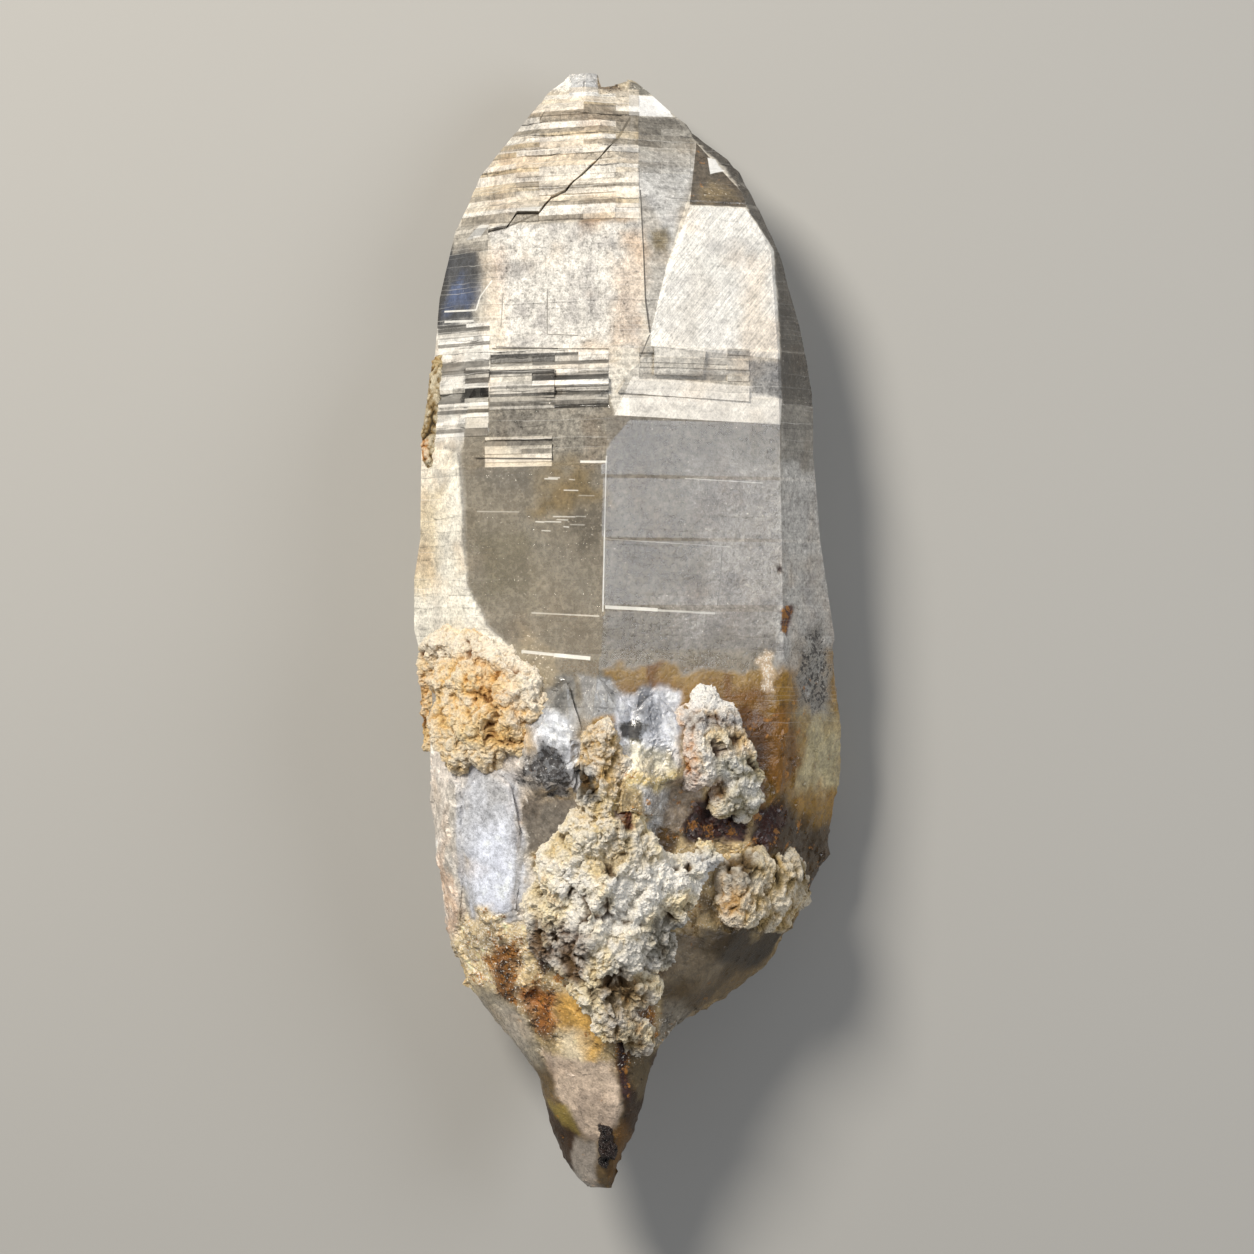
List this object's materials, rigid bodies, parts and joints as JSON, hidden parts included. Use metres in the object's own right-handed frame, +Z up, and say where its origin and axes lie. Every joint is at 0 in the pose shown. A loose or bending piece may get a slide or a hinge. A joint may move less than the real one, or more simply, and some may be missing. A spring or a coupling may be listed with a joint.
{
  "type": "himalayan phantom quartz crystal",
  "caption": "Tapered quartz crystal lying on its flat back, clear in the middle, frosted above, with orange and cream mineral crusts below.",
  "frame": {"origin": "bottom centre of the box, on the surface that the crystal lies on", "axes": "+Y along the crystal towards its broken top, +X to the right seen from above, +Z up, away from the flat back"},
  "size_m": [0.0387, 0.1008, 0.028],
  "materials": {
    "clear_quartz": "clear to milky quartz, frosted and finely ledged on the upper faces",
    "orange_crust": "crumbly orange and cream mineral crust, matt",
    "cream_crust": "granular cream mineral crust with rust stains, matt",
    "pale_crust": "pale lumpy mineral crust with an orange edge, matt",
    "golden_crust": "fine golden granular crust",
    "iron_oxide": "black-brown iron oxide, slightly glossy"
  },
  "bodies": {
    "root": {"quartz_crystal": "clear_quartz", "upper_left_crust": "orange_crust", "central_crust": "cream_crust", "right_crust": "pale_crust", "lower_right_crust": "cream_crust", "left_rim_crust": "golden_crust", "tail_iron_oxide": "iron_oxide"}
  },
  "joints": []
}
